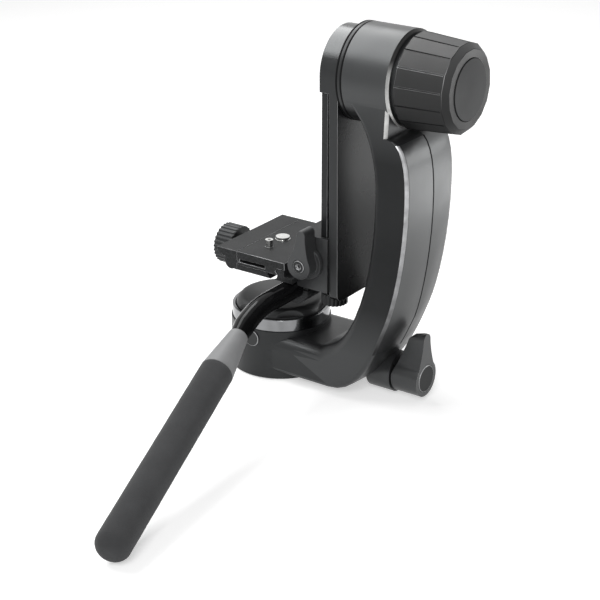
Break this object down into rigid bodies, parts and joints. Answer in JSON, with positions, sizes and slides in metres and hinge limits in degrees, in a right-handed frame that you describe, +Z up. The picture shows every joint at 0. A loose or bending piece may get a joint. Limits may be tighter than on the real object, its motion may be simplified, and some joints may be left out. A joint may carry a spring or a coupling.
{
  "type": "gimbal fluid head",
  "caption": "Side-arm gimbal fluid head for a tripod, with a sliding camera cradle, drag knobs, lock levers and a bent pan handle.",
  "frame": {"origin": "centre of the tripod thread's mouth on the underside of the base, on the pan axis", "axes": "+Z up along the pan axis, +X along the tilt axis towards the drag knob, the operator and the handle at -Y"},
  "size_m": [0.1911, 0.3185, 0.2485],
  "materials": {
    "cast_black": "satin black paint on cast aluminium",
    "dark_anodised": "black anodised, semi-gloss",
    "dark_chrome": "polished dark chrome",
    "black_plastic": "satin black",
    "knob_rubber": "matte rubber over a hard core",
    "foam_grip": "matte closed-cell foam",
    "grey_plastic": "mid grey, matte",
    "steel": "bright turned steel",
    "friction_grey": "matte friction lining",
    "brass": "turned brass"
  },
  "bodies": {
    "base": {"base_plate": "cast_black", "thread_insert": "brass", "base_screws": "steel", "pan_spindle": "steel", "pan_brake_drum": "friction_grey", "spindle_nut": "steel"},
    "pan_arm": {"arm_casting": "cast_black", "back_cover": "cast_black", "cover_screws": "steel", "trim_ring": "dark_chrome", "drum_plug": "black_plastic", "pan_bearing": "steel", "pan_brake_shoe": "friction_grey", "barrel_end_cap": "cast_black", "tilt_bearing_inner": "steel", "tilt_bearing_outer": "steel", "tilt_drag_plates": "friction_grey", "tilt_disc_spring": "steel"},
    "pan_knob": {"pan_drag_knob": "black_plastic", "pan_drag_stud": "steel"},
    "pan_lever": {"pan_lock_lever": "cast_black", "pan_lever_cap": "dark_anodised", "pan_lock_screw": "steel"},
    "tilt_knob": {"tilt_drag_knob": "knob_rubber", "tilt_knob_cap": "dark_anodised"},
    "swing": {"swing_arm": "cast_black", "dovetail_rail": "dark_anodised", "rail_screws": "steel", "tilt_shaft": "steel", "tilt_drag_discs": "steel"},
    "cradle": {"cradle_bracket": "cast_black", "rail_gib": "brass"},
    "height_lock": {"height_lever": "cast_black", "height_lever_cap": "dark_anodised", "height_lever_stud": "steel"},
    "jaw": {"clamp_jaw": "cast_black"},
    "jaw_knob": {"clamp_knob": "black_plastic", "clamp_screw": "steel"},
    "plate": {"camera_plate": "cast_black", "index_spring": "steel"},
    "camera_bolt": {"camera_screw": "steel"},
    "index": {"index_pin": "steel"},
    "handle_lock": {"handle_clamp_knob": "black_plastic", "handle_clamp_stud": "steel"},
    "handle": {"handle_rod": "dark_anodised", "handle_collar": "grey_plastic", "handle_grip": "foam_grip"}
  },
  "joints": [
    {"name": "pan", "type": "hinge", "parent": "base", "child": "pan_arm", "pos_m": [0, 0, 0], "axis": [0, 0, 1], "continuous": true},
    {"name": "pan_drag", "type": "hinge", "parent": "pan_arm", "child": "pan_knob", "pos_m": [0, 0, 0.047], "axis": [0, 0, 1], "range_deg": [-180, 180]},
    {"name": "pan_lock", "type": "hinge", "parent": "pan_arm", "child": "pan_lever", "pos_m": [0.105, 0, 0.0167], "axis": [1, 0, 0], "range_deg": [0, 80]},
    {"name": "tilt_drag", "type": "hinge", "parent": "pan_arm", "child": "tilt_knob", "pos_m": [0.12, 0, 0.217], "axis": [1, 0, 0], "range_deg": [-180, 180]},
    {"name": "tilt", "type": "hinge", "parent": "pan_arm", "child": "swing", "pos_m": [0.06, 0, 0.217], "axis": [1, 0, 0], "range_deg": [-90, 8]},
    {"name": "height", "type": "slide", "parent": "swing", "child": "cradle", "axis": [0, 0, 1], "range_m": [0, 0.085]},
    {"name": "height_lock", "type": "hinge", "parent": "cradle", "child": "height_lock", "pos_m": [0.0425, -0.034, 0.092], "axis": [0, 1, 0], "range_deg": [-70, 70]},
    {"name": "jaw_opening", "type": "slide", "parent": "cradle", "child": "jaw", "axis": [-1, 0, 0], "range_m": [0, 0.003]},
    {"name": "jaw_screw", "type": "hinge", "parent": "jaw", "child": "jaw_knob", "pos_m": [-0.04, 0.0025, 0.0755], "axis": [-1, 0, 0], "range_deg": [0, 870]},
    {"name": "plate_slide", "type": "slide", "parent": "cradle", "child": "plate", "axis": [0, 1, 0], "range_m": [-0.015, 0.015]},
    {"name": "camera_bolt", "type": "hinge", "parent": "plate", "child": "camera_bolt", "pos_m": [0, 0.002, 0.085], "axis": [0, 0, 1], "continuous": true},
    {"name": "index_press", "type": "slide", "parent": "plate", "child": "index", "axis": [0, 0, -1], "range_m": [0, 0.0038], "stiffness_N_per_m": 300, "springref_m": -0.002, "deforming": ["index_spring"]},
    {"name": "handle_lock", "type": "hinge", "parent": "cradle", "child": "handle_lock", "pos_m": [0.044, 0, 0.059], "axis": [0, 0, 1], "range_deg": [-180, 180]},
    {"name": "handle_turn", "type": "hinge", "parent": "cradle", "child": "handle", "pos_m": [0.028, 0, 0.0685], "axis": [0, 1, 0], "continuous": true}
  ],
  "couplings": [
    {"joint": "jaw_screw", "follows": "jaw_opening", "rad_per_m": 5026.5}
  ]
}
